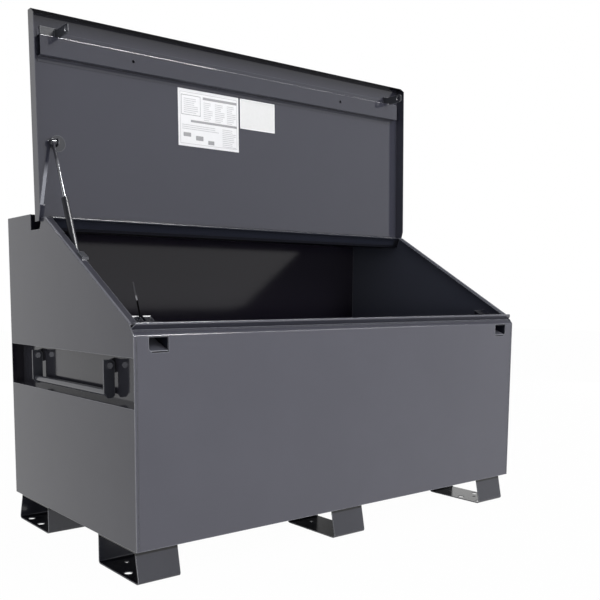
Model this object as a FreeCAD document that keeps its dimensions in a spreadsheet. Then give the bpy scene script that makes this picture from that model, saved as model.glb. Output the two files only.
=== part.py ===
import FreeCAD, Part
import math
import os
import re
import Sketcher

# Slope-lid jobsite storage box of folded steel sheet.
# Frame: +X to the right along the front, +Y to the back, +Z up, millimetres.
# Origin: on the ground under the middle of the footprint, skids included.
# Most pieces are drawn from the left side's outer face (X), the front face (Y)
# and the body's lower edge (Z); their Placement brings them into the frame.

doc = FreeCAD.newDocument("jobsite_box")
sheet = doc.addObject("Spreadsheet::Sheet", "Sizes")

SIZES = [
    ("width", 1524), ("depth", 803), ("base", 83), ("skin", 2), ("bend", 1),
    # front panel: face, V groove and rain lip
    ("face_rise", 544), ("neck_in", 16), ("neck_up", 14), ("lip_in", 5), ("lip_up", 13),
    ("rim_up", 5), ("rim_deep", 30), ("lip_inset", 9),
    # sloping side edges, rear ledge and its rain trough
    ("slope_in", 20), ("slope_up", 28), ("slope_run", 502.5), ("slope_rise", 297), ("flange", 25),
    ("trough_gap", 15.5), ("trough_slant", 15), ("trough_floor", 67.5), ("trough_drop", 31),
    ("ledge_up", 15),
    # handle channel along each side
    ("recess_low", 362.6), ("recess_tall", 126.6), ("recess_deep", 40),
    # hinge
    ("hinge_gap", 10.5), ("knuckle", 5), ("pin_rad", 2.4), ("run_fit", 0.05), ("hinge_inset", 30),
    ("leaf", 1.5), ("leaf_wide", 27), ("knuckle_gap", 0.5),
    # lid
    ("lid_lean", 1.2), ("lid_over", 8), ("lid_lift", 35), ("lid_back", 10), ("lid_long", 589),
    ("skirt_drop", 4), ("front_lip", 22), ("nose_back", 15), ("tail_run", 37), ("tail_up", 7),
    ("tail_lip", 20), ("rib_back", 125), ("rib_wide", 58), ("rib_deep", 25), ("rib_end", 16),
    ("rib_hole", 5), ("rib_low_flange", 13), ("rib_high_flange", 19),
    # feet
    ("foot_wide", 125), ("foot_skin", 3), ("foot_bend", 6), ("foot_flare", 17), ("foot_front", 8), ("foot_long", 204),
    ("foot_rear", 546), ("foot_rear_long", 205), ("foot_rear_flare", 26), ("foot_mid", 671),
    ("foot_right_inset", 39), ("hole_rad", 11), ("drain_rad", 6), ("hole_x", 78), ("hole_y", 77),
    ("hole_front", 50), ("hole_rear", 699), ("drain_front", 115), ("drain_apart", 106),
    # padlock pockets
    ("lock_from", 42), ("lock_wide", 58), ("lock_right", 39), ("lock_tall", 41), ("lock_cut", 10),
    ("lock_deep", 88), ("lock_clear", 1.8), ("tray_up", 5), ("tray_rise", 35),
    ("hatch", 23), ("hatch_up", 13), ("lock_top", 33),
    # hooks on the lid and the slots they drop through
    ("hook_x", 29), ("hook_thick", 3), ("hook_wide", 28), ("hook_reach", 91),
    ("hook_hole", 8), ("hook_gap", 2.5), ("hook_slot_y", 50),
    # drop handles
    ("arm_front", 164), ("arm_span", 472), ("arm_thick", 5), ("arm_half", 16), ("pivot_up", 97.4),
    ("grip_drop", 72), ("grip_rad", 9.5), ("handle_pin", 5), ("handle_head", 9), ("ear_gap", 1),
    # telescopic lid stay
    ("stay_x", 50), ("stay_n", 17.4), ("stay_l", 222.5), ("stay_open", 612), ("stay_tilt", 22.95),
    ("stay_rod", 5), ("stay_rod_out", 182), ("stay_mid", 10), ("stay_mid_out", 200),
    ("stay_tube", 12), ("stay_eye", 11), ("stay_keep", 20), ("stud_rad", 5),
    ("stay_gap", 0.3), ("boss_rad", 8), ("stay_plate", 24), ("lug_thick", 2),
    # cards, tie and small pieces
    ("card_thick", 0.5), ("card_from", 496), ("card_wide", 245), ("card_tall", 183), ("card_gap", 3),
    ("blank_gap", 7), ("blank_wide", 153), ("blank_tall", 100.5),
    ("tie_wide", 4), ("tie_thick", 2), ("tie_turn", 20.8), ("tie_gap", 0.2),
    ("perch_from", 303), ("perch_long", 29), ("perch_thick", 6),
]
WORDS = set()
row = 1
for word, value in SIZES:
    sheet.set("A%d" % row, word)
    sheet.set("B%d" % row, "%s" % value)
    sheet.setAlias("B%d" % row, word)
    WORDS.add(word)
    row = row + 1
doc.recompute()


def bound(text):
    """Prefix every size word of an expression with the sheet's name."""
    return re.sub(r"[a-z_]+[a-z_0-9]*", lambda m: "Sizes." + m.group(0) if m.group(0) in WORDS else m.group(0), str(text))


NODES = {}
FRONT = "-(depth + foot_front - foot_flare) / 2"
GROUND = ("-width / 2", FRONT, "base")


def place(piece, origin, lean=None):
    """Bring a piece into the frame, turned about X by lean where given."""
    if lean:
        piece.Placement.Rotation = FreeCAD.Rotation(FreeCAD.Vector(1, 0, 0), 1)
        piece.setExpression("Placement.Rotation.Angle", bound(lean))
    piece.setExpression("Placement.Base.x", bound(origin[0]))
    piece.setExpression("Placement.Base.y", bound(origin[1]))
    piece.setExpression("Placement.Base.z", bound(origin[2]))


def body(label, origin=GROUND, lean=None, keep=True):
    """A PartDesign body for one piece; keep marks it as a piece of the box."""
    piece = doc.addObject("PartDesign::Body", label)
    piece.Label = label
    place(piece, origin, lean)
    if keep:
        NODES[label] = piece
    return piece


def sketch(piece, plane, points, level, circles=()):
    """A closed polygon (or circles) with every coordinate bound, at a level of one origin plane."""
    drawing = piece.newObject("Sketcher::SketchObject", piece.Name + "_outline")
    for feature in piece.Origin.OriginFeatures:
        if feature.Role == plane:
            drawing.AttachmentSupport = (feature, "")
    drawing.MapMode = "FlatFace"
    drawing.setExpression("AttachmentOffset.Base.z", bound(level))
    count = len(points)
    spots = []
    for number in range(count):
        angle = 2 * math.pi * number / max(count, 1)
        spots.append(FreeCAD.Vector(100 * math.cos(angle), 100 * math.sin(angle), 0))
    for number in range(count):
        drawing.addGeometry(Part.LineSegment(spots[number], spots[(number + 1) % count]), False)
    for number in range(count):
        drawing.addConstraint(Sketcher.Constraint("Coincident", number, 2, (number + 1) % count, 1))
    for number in range(count):
        for kind, value, text in (("DistanceX", spots[number].x, points[number][0]),
                                  ("DistanceY", spots[number].y, points[number][1])):
            index = drawing.addConstraint(Sketcher.Constraint(kind, -1, 1, number, 1, value))
            drawing.setExpression("Constraints[%d]" % index, bound(text))
    for number, (across, up, radius) in enumerate(circles):
        centre = FreeCAD.Vector(10 + number * 7, 10 + number * 5, 0)
        place_in = drawing.addGeometry(Part.Circle(centre, FreeCAD.Vector(0, 0, 1), 3), False)
        for kind, value, text in (("DistanceX", centre.x, across), ("DistanceY", centre.y, up)):
            index = drawing.addConstraint(Sketcher.Constraint(kind, -1, 1, place_in, 3, value))
            drawing.setExpression("Constraints[%d]" % index, bound(text))
        index = drawing.addConstraint(Sketcher.Constraint("Radius", place_in, 3))
        drawing.setExpression("Constraints[%d]" % index, bound(radius))
    return drawing


def span(plane, low, high):
    """Level and length of a run along a plane's normal (the XZ plane's normal points to -Y)."""
    if plane == "XZ_Plane":
        return "-(%s)" % high, "(%s) - (%s)" % (high, low)
    return low, "(%s) - (%s)" % (high, low)


def pad(piece, plane, points, low, high, circles=()):
    level, length = span(plane, low, high)
    drawing = sketch(piece, plane, points, level, circles)
    feature = piece.newObject("PartDesign::Pad", piece.Name + "_pad")
    feature.Profile = drawing
    feature.setExpression("Length", bound(length))
    piece.Tip = feature
    return feature


def pocket(piece, plane, points, low, high, circles=()):
    level, length = span(plane, low, high)
    doc.recompute()
    before = piece.Shape.Volume
    drawing = sketch(piece, plane, points, level, circles)
    feature = piece.newObject("PartDesign::Pocket", piece.Name + "_cut")
    feature.Profile = drawing
    feature.setExpression("Length", bound(length))
    feature.Reversed = True
    piece.Tip = feature
    doc.recompute()
    if not piece.Shape.Volume < before - 1e-6:
        raise RuntimeError("pocket removes nothing in " + piece.Label)
    return feature


def bend(piece, radius, pick):
    """Round the piece's edges whose ends and middle all satisfy pick, given in the piece's own axes."""
    doc.recompute()
    tip = piece.Tip
    names = []
    for number, edge in enumerate(tip.Shape.Edges):
        spots = [edge.Vertexes[0].Point, edge.Vertexes[-1].Point, edge.CenterOfMass]
        if edge.Length > 1 and all(pick(spot) for spot in spots):
            names.append("Edge%d" % (number + 1))
    if not names:
        raise RuntimeError("no edge to bend in " + piece.Label)
    rounding = piece.newObject("PartDesign::Fillet", piece.Name + "_bend")
    rounding.Base = (tip, names)
    rounding.setExpression("Radius", bound(radius))
    piece.Tip = rounding
    doc.recompute()
    if rounding.Shape.isNull() or not rounding.Shape.isValid():
        raise RuntimeError("bend of %s fails in %s" % (radius, piece.Label))
    return rounding


def value(text):
    """The number an expression of size words has now."""
    return float(sheet.evalExpression(bound(text)))


def near(*pairs):
    """True for a point that has each given coordinate, such as ("y", "skin")."""
    wanted = [("xyz".index(letter), value(text)) for letter, text in pairs]
    return lambda spot: all(abs(spot[place_in] - level) < 0.02 for place_in, level in wanted)


def rect(a, b, c, d):
    """Corners of a rectangle from (a, c) to (b, d)."""
    return [(a, c), (b, c), (b, d), (a, d)]


def hexagon(right, up, radius):
    """Corners of a hexagon head about (right, up)."""
    corners = []
    for across_share, up_share in ((1, 0), (0.5, 0.866), (-0.5, 0.866), (-1, 0), (-0.5, -0.866), (0.5, -0.866)):
        corners.append(("(%s) + (%s) * (%s)" % (right, radius, across_share), "(%s) + (%s) * (%s)" % (up, radius, up_share)))
    return corners


def across(side, place_x):
    """Distance from the left side's outer face for a place given from the named side."""
    if side == "left":
        return place_x
    return "width - (%s)" % place_x


def run(side, low, high):
    if side == "left":
        return low, high
    return "width - (%s)" % high, "width - (%s)" % low


def rod(label, origin, axis, radius, low, high, keep=True):
    """A cylinder along X or Y between two places on its axis."""
    piece = doc.addObject("Part::Cylinder", label)
    piece.Label = label
    turn = {"x": FreeCAD.Vector(0, 1, 0), "y": FreeCAD.Vector(-1, 0, 0), "z": FreeCAD.Vector(0, 0, 1)}
    piece.Placement.Rotation = FreeCAD.Rotation(turn[axis], 0 if axis == "z" else 90)
    place_now = dict(zip("xyz", origin))
    place_now[axis] = "(%s) + (%s)" % (place_now[axis], low)
    piece.setExpression("Radius", bound(radius))
    piece.setExpression("Height", bound("(%s) - (%s)" % (high, low)))
    for name in "xyz":
        piece.setExpression("Placement.Base." + name, bound(place_now[name]))
    if keep:
        NODES[label] = piece
    return piece


# Levels shared by pieces that meet
NECK = "(face_rise + neck_up)"
LIP = "(face_rise + neck_up + lip_up)"
RIM = "(face_rise + neck_up + lip_up + rim_up)"
SLOPE_Z = "(face_rise + slope_up)"
TOP_Y = "(slope_in + slope_run)"
TOP_Z = "(face_rise + slope_up + slope_rise)"
RIM_Y = "(slope_in + slope_run + trough_gap)"
RIM_Z = "(face_rise + slope_up + slope_rise - 2)"
TROUGH_Y = "(slope_in + slope_run + trough_gap + trough_slant)"
TROUGH_Z = "(face_rise + slope_up + slope_rise - 2 - trough_drop)"
LEDGE_Y = "(slope_in + slope_run + trough_gap + trough_slant + trough_floor)"
LEDGE_Z = "(face_rise + slope_up + slope_rise + ledge_up)"
HINGE_Y = "(slope_in + slope_run + hinge_gap)"
HINGE_Z = "(face_rise + slope_up + slope_rise - 1)"
RECESS_TOP = "(recess_low + recess_tall)"

# Front panel: flat face, then a shoulder falling back to a neck, a limb rising
# forward to the lip, and a flat rim running back inside the box.
front = body("front_panel")
pad(front, "YZ_Plane", [
    ("0", "0"), ("skin", "0"),
    ("skin", "face_rise - 0.45 * skin"),
    ("neck_in + 1.4 * skin", NECK + " - 0.1 * skin"),
    ("lip_in + skin", LIP + " + 0.35 * skin"),
    ("lip_in + skin", RIM + " - skin"),
    ("lip_in + rim_deep", RIM + " - skin"),
    ("lip_in + rim_deep", RIM),
    ("lip_in", RIM), ("lip_in", LIP), ("neck_in", NECK), ("0", "face_rise")], "0", "width")
for side in ("left", "right"):
    low, high = run(side, "-1", "skin")
    pocket(front, "YZ_Plane", rect("skin", "lip_in + rim_deep + 1", "face_rise - 2 * skin", NECK + " + 5"),
           low, high)
    pocket(front, "XZ_Plane", [
        (across(side, "-1"), NECK + " + 4.5"), (across(side, "0"), NECK + " + 4.5"),
        (across(side, "lip_inset"), LIP + " + 2"), (across(side, "lip_inset"), RIM + " + 1"),
        (across(side, "-1"), RIM + " + 1")], "-1", "slope_in - 1")
    low, high = run(side, "-1", "flange + 1.5")
    pocket(front, "YZ_Plane", rect("slope_in - 1", "lip_in + rim_deep + 1", NECK + " + 4.5", RIM + " + 1"),
           low, high)
for side, start in (("left", "lock_from"), ("right", "lock_right")):
    pocket(front, "XZ_Plane", [
        (across(side, start + " + lock_cut"), "face_rise - skin - lock_tall"),
        (across(side, start + " + lock_wide"), "face_rise - skin - lock_tall"),
        (across(side, start + " + lock_wide"), "face_rise - skin"),
        (across(side, start), "face_rise - skin"),
        (across(side, start), "face_rise - skin - lock_tall + lock_cut")], "-1", "skin + 1")
bend(front, "skin + bend", near(("y", "0"), ("z", "face_rise")))
bend(front, "skin * 0.8", near(("y", "lip_in"), ("z", RIM)))
bend(front, "skin * 0.8", near(("y", "lip_in"), ("z", LIP)))

# Back panel and floor, flat sheets
back = body("back_panel")
pad(back, "YZ_Plane", rect("depth - skin", "depth", "0", LEDGE_Z), "0", "width")
floor = body("floor_panel")
pad(floor, "YZ_Plane", rect("skin", "depth - skin", "0", "skin"), "skin", "width - skin")

# Side panels: lower plate, deep channel for the drop handle, upper plate with a
# sloping edge folded inward, and a notch where the rain trough runs out.
for side in ("left", "right"):
    name = side + "_side_panel"
    panel = body(name)
    def ax(text, side=side):
        return across(side, text)
    ring = [
        (ax("0"), "0"), (ax("skin"), "0"), (ax("skin"), "recess_low - skin"),
        (ax("recess_deep"), "recess_low - skin"), (ax("recess_deep"), RECESS_TOP + " + skin"),
        (ax("skin"), RECESS_TOP + " + skin"), (ax("skin"), LEDGE_Z), (ax("0"), LEDGE_Z),
        (ax("0"), RECESS_TOP), (ax("recess_deep - skin"), RECESS_TOP),
        (ax("recess_deep - skin"), "recess_low"), (ax("0"), "recess_low")]
    pad(panel, "XZ_Plane", ring, "skin", "depth - skin")
    low, high = run(side, "-1", "skin + 1")
    pocket(panel, "YZ_Plane", [
        ("-1", LEDGE_Z + " + 1"), ("-1", "face_rise + 2"), ("skin", "face_rise + 2"),
        ("neck_in - 6", NECK + " - 1"), ("neck_in + 1", NECK + " + 5"), ("slope_in", SLOPE_Z),
        (TOP_Y, TOP_Z), (RIM_Y, RIM_Z), (TROUGH_Y, TROUGH_Z), (LEDGE_Y, TROUGH_Z),
        (LEDGE_Y, LEDGE_Z + " + 1")], low, high)
    low, high = run(side, "0", "flange")
    rise = "(slope_rise / slope_run)"
    pad(panel, "YZ_Plane", [
        ("slope_in", SLOPE_Z + " - 1.16 * skin"), (TOP_Y, TOP_Z + " - 1.16 * skin"), (TOP_Y, TOP_Z),
        ("slope_in", SLOPE_Z)], low, high)
    start_y = value("slope_in")
    start_z = value(SLOPE_Z)
    slant = value(rise)
    edge_x = value(ax("0"))
    bend(panel, "skin * 0.8", lambda spot: abs(spot.x - edge_x) < 0.02 and spot.y < value(TOP_Y) + 0.1
         and abs(spot.z - start_z - slant * (spot.y - start_y)) < 0.02)

# Rear ledge folded down into the rain trough, whose front wall leans forward to the hinge
ledge = body("rear_ledge")
pad(ledge, "YZ_Plane", [
    ("depth - skin", LEDGE_Z), (LEDGE_Y, LEDGE_Z), (LEDGE_Y, TROUGH_Z), (TROUGH_Y, TROUGH_Z),
    (RIM_Y + " + 2.5", RIM_Z + " + 1"), (RIM_Y + " + 0.4", RIM_Z + " + 1"),
    (TROUGH_Y + " - 1.4", TROUGH_Z + " - skin"), (LEDGE_Y + " + skin", TROUGH_Z + " - skin"),
    (LEDGE_Y + " + skin", LEDGE_Z + " - skin"), ("depth - skin", LEDGE_Z + " - skin")],
    "skin", "width - skin")
bend(ledge, "skin + bend", near(("y", LEDGE_Y), ("z", LEDGE_Z)))

# Six skids: channels open at both ends, one wall upright and one flaring outward, with
# caster bolt holes in the corner skids' bottom plates and anchor holes in the front ones.
FEET = [("left", "0"), ("middle", "foot_mid"), ("right", "width - foot_right_inset - foot_wide")]
for spot, start in FEET:
    foot = body("foot_front_" + spot)
    far = "foot_front + foot_long"
    flare = "foot_front - foot_flare"
    pad(foot, "YZ_Plane", [("foot_front", "0"), (flare, "-base"), (far, "-base"), (far, "0")],
        start, start + " + foot_wide")
    inner = "foot_front - foot_flare + foot_flare * foot_skin / base + 1.02 * foot_skin"
    pocket(foot, "YZ_Plane", [
        ("foot_front - foot_flare * foot_skin / base + 1.02 * foot_skin", "-foot_skin"),
        (inner, "foot_skin - base"), (far + " - foot_skin", "foot_skin - base"),
        (far + " - foot_skin", "-foot_skin")], start + " - 1", start + " + foot_wide + 1")
    bend(foot, "foot_bend", near(("y", inner), ("z", "foot_skin - base")))
    bend(foot, "foot_bend", near(("y", far + " - foot_skin"), ("z", "foot_skin - base")))
    bend(foot, "foot_skin + foot_bend", near(("y", flare), ("z", "-base")))
    bend(foot, "foot_skin + foot_bend", near(("y", far), ("z", "-base")))
    rear = body("foot_rear_" + spot)
    far = "foot_rear + foot_rear_long + foot_rear_flare"
    top = "foot_rear + foot_rear_long"
    pad(rear, "YZ_Plane", [("foot_rear", "0"), ("foot_rear", "-base"), (far, "-base"), (top, "0")],
        start, start + " + foot_wide")
    inner = far + " - foot_rear_flare * foot_skin / base - 1.05 * foot_skin"
    pocket(rear, "YZ_Plane", [
        ("foot_rear + foot_skin", "-foot_skin"), ("foot_rear + foot_skin", "foot_skin - base"),
        (inner, "foot_skin - base"),
        (top + " + foot_rear_flare * foot_skin / base - 1.05 * foot_skin", "-foot_skin")],
        start + " - 1", start + " + foot_wide + 1")
    bend(rear, "foot_bend", near(("y", "foot_rear + foot_skin"), ("z", "foot_skin - base")))
    bend(rear, "foot_bend", near(("y", inner), ("z", "foot_skin - base")))
    bend(rear, "foot_skin + foot_bend", near(("y", "foot_rear"), ("z", "-base")))
    bend(rear, "foot_skin + foot_bend", near(("y", far), ("z", "-base")))
    centre = start + " + foot_wide / 2"
    for piece, middle in ((foot, "hole_front"), (rear, "hole_rear")):
        holes = []
        if spot != "middle":
            for right, up in (("-hole_x", "-hole_y"), ("hole_x", "-hole_y"), ("-hole_x", "hole_y"),
                              ("hole_x", "hole_y")):
                holes.append((centre + " + (%s) / 2" % right, middle + " + (%s) / 2" % up, "hole_rad"))
        if piece is foot:
            holes.append((centre, "drain_front - drain_apart / 2", "drain_rad"))
            holes.append((centre, "drain_front + drain_apart / 2", "drain_rad"))
        if holes:
            pocket(piece, "XY_Plane", [], "-base - 1", "foot_skin - base + 1", holes)

# Continuous hinge: the box leaf lies on the trough's front wall, the lid leaf is
# folded from the knuckles up to the lid's inner face, and one pin runs through both.
WALL_RUN = "(trough_slant - 1.8)"
WALL_DROP = "(trough_drop + 3)"
WALL_LONG = "sqrt(%s^2 + %s^2)" % (WALL_RUN, WALL_DROP)


def on_wall(along, out):
    """A point on the trough's front wall: along its slant from the top, out from its face."""
    y = RIM_Y + " + 0.4 + ((%s) * %s - (%s) * %s) / %s" % (along, WALL_RUN, out, WALL_DROP, WALL_LONG)
    z = RIM_Z + " + 1 - ((%s) * %s + (%s) * %s) / %s" % (along, WALL_DROP, out, WALL_RUN, WALL_LONG)
    return y, z


PITCH = "((width - 2 * hinge_inset) / 5)"
LID = ("-width / 2", FRONT + " + " + HINGE_Y, "base + " + HINGE_Z)
BORE = "pin_rad + run_fit"


def knuckles(piece, tab, centre, first, times):
    """A tab and a barrel, repeated along the hinge, then bored for the pin."""
    low = "hinge_inset + %s * %d + knuckle_gap / 2" % (PITCH, first)
    high = "hinge_inset + %s * %d - knuckle_gap / 2" % (PITCH, first + 1)
    tongue = pad(piece, "YZ_Plane", tab, low, high)
    barrel = pad(piece, "YZ_Plane", [], low, high, [(centre[0], centre[1], "knuckle")])
    doc.recompute()
    repeat = piece.newObject("PartDesign::LinearPattern", piece.Name + "_row")
    repeat.Originals = [tongue, barrel]
    for feature in piece.Origin.OriginFeatures:
        if feature.Role == "X_Axis":
            repeat.Direction = (feature, [""])
    repeat.setExpression("Length", bound("%s * %d" % (PITCH, 2 * (times - 1))))
    repeat.Occurrences = times
    piece.Tip = repeat
    pocket(piece, "YZ_Plane", [], "0", "width", [(centre[0], centre[1], BORE)])


box_leaf = body("hinge_box_leaf")
pad(box_leaf, "YZ_Plane", [on_wall("3", "0"), on_wall("leaf_wide", "0"), on_wall("leaf_wide", "leaf"),
                           on_wall("3", "leaf")], "hinge_inset", "width - hinge_inset")
knuckles(box_leaf, [on_wall("-2", "0"), on_wall("3.5", "0"), on_wall("3.5", "leaf"), on_wall("-2", "leaf")],
         (HINGE_Y, HINGE_Z), 0, 3)

lid_leaf = body("hinge_lid_leaf", LID, "-lid_lean")
pad(lid_leaf, "YZ_Plane", [
    ("knuckle - 0.5", "knuckle - leaf"), ("lid_lift - skin - leaf", "knuckle - leaf"),
    ("lid_lift - skin - leaf", "skin - lid_back + 0.5"), ("lid_lift - skin", "skin - lid_back + 0.5"),
    ("lid_lift - skin", "knuckle"), ("knuckle - 0.5", "knuckle")],
    "hinge_inset", "width - hinge_inset")
knuckles(lid_leaf, [("0", "knuckle - leaf"), ("knuckle", "knuckle - leaf"), ("knuckle", "knuckle"),
                    ("0", "knuckle")], ("0", "0"), 1, 2)
rod("hinge_pin", LID, "x", "pin_rad", "hinge_inset - 2", "width - hinge_inset + 2")

# Lid: one folded pan with deep side skirts, a front lip and a short rear lip. In the
# lid's own axes Y runs outward from the hinge axis and Z along the lid to its front.
lid = body("lid_panel", LID, "-lid_lean")
pad(lid, "YZ_Plane", [
    ("lid_lift", "-lid_back"), ("lid_lift", "lid_long"), ("lid_lift - front_lip", "lid_long"),
    ("-skirt_drop", "lid_long - nose_back"), ("-skirt_drop", "tail_run - lid_back"),
    ("tail_up", "-lid_back")], "-lid_over", "width + lid_over")
bend(lid, "skin + bend", near(("y", "lid_lift")))
pocket(lid, "YZ_Plane", rect("-skirt_drop - 1", "lid_lift - skin", "skin - lid_back", "lid_long - skin"),
       "skin - lid_over", "width + lid_over - skin")
pocket(lid, "YZ_Plane", rect("-skirt_drop - 1", "lid_lift - tail_lip", "-lid_back - 1", "skin - lid_back + 1"),
       "skin - lid_over", "width + lid_over - skin")

# Stiffening channel of hat section across the front of the lid
rib = body("lid_front_channel", LID, "-lid_lean")
IN = "(lid_lift - skin)"
RIB_LOW = "(lid_long - rib_back)"
RIB_HIGH = "(lid_long - rib_back + rib_wide)"
pad(rib, "YZ_Plane", [
    (IN, RIB_LOW + " - rib_low_flange"), (IN, RIB_LOW + " + skin"),
    (IN + " - rib_deep + skin", RIB_LOW + " + skin"), (IN + " - rib_deep + skin", RIB_HIGH + " - skin"),
    (IN, RIB_HIGH + " - skin"), (IN, RIB_HIGH + " + rib_high_flange"),
    (IN + " - skin", RIB_HIGH + " + rib_high_flange"), (IN + " - skin", RIB_HIGH),
    (IN + " - rib_deep", RIB_HIGH), (IN + " - rib_deep", RIB_LOW), (IN + " - skin", RIB_LOW),
    (IN + " - skin", RIB_LOW + " - rib_low_flange")], "rib_end", "width - rib_end - 4")
bend(rib, "skin + bend", near(("y", IN + " - rib_deep"), ("z", RIB_HIGH)))
bend(rib, "skin + bend", near(("y", IN + " - rib_deep"), ("z", RIB_LOW)))
pocket(rib, "XZ_Plane", [], IN + " - rib_deep - 1", IN + " - rib_deep + skin + 1", [
    ("width * 0.21", RIB_LOW + " + rib_wide / 2", "rib_hole"),
    ("width * 0.786", RIB_LOW + " + rib_wide / 2", "rib_hole")])

# Two cards side by side on the lid's inner face, hanging just under the channel's flange
CARD_TOP = "(lid_long - rib_back - rib_low_flange - card_gap)"
for label, low, wide, tall in (("instruction_card", "card_from", "card_wide", "card_tall"),
                               ("blank_card", "card_from + card_wide + blank_gap", "blank_wide", "blank_tall")):
    card = body(label, LID, "-lid_lean")
    pad(card, "YZ_Plane", rect(IN + " - card_thick", IN, CARD_TOP + " - " + tall, CARD_TOP), low,
        low + " + " + wide)

# Padlock pockets: an opening in the face, a tray sloping up behind it and a folded housing
# that rises to the lid; a hook on the lid drops through the slot in the housing.
HOUSE = "(recess_low + recess_tall + skin + lock_clear)"
REAR = "(skin + lock_deep)"
SHELF = "(face_rise + lock_top)"
EDGE = "(lip_in + rim_deep + 2)"
TIE_AT = ("stay_x + 15", "skin + 82")
TIE_HOLE = rect("-tie_wide / 2 - tie_gap", "tie_wide / 2 + tie_gap", "-tie_thick / 2 - tie_gap",
                "tie_thick / 2 + tie_gap")


def turned(right, back):
    """A place on the housing's top, given in the tie's own axes."""
    return (TIE_AT[0] + " + (%s) * cos(tie_turn) + (%s) * sin(tie_turn)" % (right, back),
            TIE_AT[1] + " - (%s) * sin(tie_turn) + (%s) * cos(tie_turn)" % (right, back))


for side, start in (("left", "lock_from"), ("right", "lock_right")):
    house = body("lock_housing_" + side)
    low, high = run(side, start, start + " + lock_wide")
    pad(house, "YZ_Plane", [
        ("skin", HOUSE), (REAR, HOUSE), (REAR, SHELF + " + hatch_up"), (REAR + " - hatch", SHELF),
        (EDGE, SHELF), (EDGE, "face_rise + 8"), ("skin", "face_rise - 3")], low, high)
    low, high = run(side, start + " + skin", start + " + lock_wide - skin")
    pocket(house, "YZ_Plane", [
        ("skin - 1", HOUSE + " + skin"), (REAR + " - skin", HOUSE + " + skin"),
        (REAR + " - skin", SHELF + " + hatch_up - 1.7 * skin"),
        (REAR + " - hatch + 0.25 * skin", SHELF + " - skin"), (EDGE + " + skin", SHELF + " - skin"),
        (EDGE + " + skin", "face_rise + 8 - 0.7 * skin"), ("skin - 1", "face_rise - 3 - 1.2 * skin")],
        low, high)
    low, high = run(side, start + " + hook_x - hook_gap", start + " + hook_x + hook_thick + hook_gap")
    pocket(house, "XY_Plane", rect(low, high, "hook_slot_y", REAR + " + 1"), HOUSE + " + 40",
           SHELF + " + hatch_up + 5")
    if side == "left":
        pocket(house, "XY_Plane", [turned(*corner) for corner in TIE_HOLE], HOUSE + " + 40",
               SHELF + " + hatch_up + 5")
    tray = body("lock_tray_" + side)
    low, high = run(side, start + " + skin", start + " + lock_wide - skin")
    sill = "(face_rise - skin - lock_tall + tray_up)"
    pad(tray, "YZ_Plane", [
        ("skin", sill + " - skin"), (REAR + " - skin", sill + " + tray_rise - skin"),
        (REAR + " - skin", sill + " + tray_rise"), ("skin", sill)], low, high)
    hook = body("lid_hook_" + side, LID, "-lid_lean")
    low, high = run(side, start + " + hook_x - 46", start + " + hook_x + hook_thick")
    seat = IN + " - skin"
    pad(hook, "YZ_Plane", rect(seat + " - hook_thick", seat, RIB_HIGH + " + 1", RIB_HIGH + " + 1 + hook_wide"),
        low, high)
    low, high = run(side, start + " + hook_x", start + " + hook_x + hook_thick")
    tip = seat + " - hook_reach"
    pad(hook, "YZ_Plane", [
        (seat, RIB_HIGH + " + 1"), (IN + " - rib_deep - 1", RIB_HIGH + " + 1"),
        (IN + " - rib_deep - 8", RIB_HIGH + " - 6"), (tip + " + 8", RIB_HIGH + " - 6"),
        (tip, RIB_HIGH + " - 1"), (tip, RIB_HIGH + " - 6 + hook_wide - 5"),
        (tip + " + 8", RIB_HIGH + " - 6 + hook_wide"), (seat + " - 20", RIB_HIGH + " - 6 + hook_wide"),
        (seat, RIB_HIGH + " + 1 + hook_wide")], low, high)
    pocket(hook, "YZ_Plane", [], low + " - 1", high + " + 1",
           [(tip + " + 15", RIB_HIGH + " - 6 + hook_wide / 2", "hook_hole")])

# Thin flat tie standing in the left housing's top, then leaning back and inward so low
# that the closed lid's channel passes over it
tie = body("tie", ("-width / 2 + " + TIE_AT[0], FRONT + " + " + TIE_AT[1], "base"))
tie.Placement.Rotation = FreeCAD.Rotation(FreeCAD.Vector(0, 0, -1), 1)
tie.setExpression("Placement.Rotation.Angle", bound("tie_turn"))
path = sketch(tie, "YZ_Plane", [], "0")
TIE = [("0", SHELF + " - 4"), ("0", SHELF + " + 19"), ("36.5", SHELF + " + 49"),
       ("70.5", SHELF + " + 72"), ("109", SHELF + " + 101")]
for number in range(len(TIE) - 1):
    path.addGeometry(Part.LineSegment(FreeCAD.Vector(30 * number, 580 + 20 * number, 0),
                                      FreeCAD.Vector(30 + 30 * number, 600 + 20 * number, 0)), False)
for number in range(len(TIE) - 2):
    path.addConstraint(Sketcher.Constraint("Coincident", number, 2, number + 1, 1))
for number, spot in enumerate(TIE):
    edge, end = (number, 1) if number < len(TIE) - 1 else (number - 1, 2)
    for kind, text, start_at in (("DistanceX", spot[0], 30 * number), ("DistanceY", spot[1], 580 + 20 * number)):
        index = path.addConstraint(Sketcher.Constraint(kind, -1, 1, edge, end, start_at))
        path.setExpression("Constraints[%d]" % index, bound(text))
section = sketch(tie, "XY_Plane", rect("-tie_wide / 2", "tie_wide / 2", "-tie_thick / 2", "tie_thick / 2"),
                 SHELF + " - 4")
wire = tie.newObject("PartDesign::AdditivePipe", "tie_pipe")
wire.Profile = section
wire.Spine = (path, ["Edge%d" % (number + 1) for number in range(len(TIE) - 1)])
wire.Transition = "Right corner"
tie.Tip = wire

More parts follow.
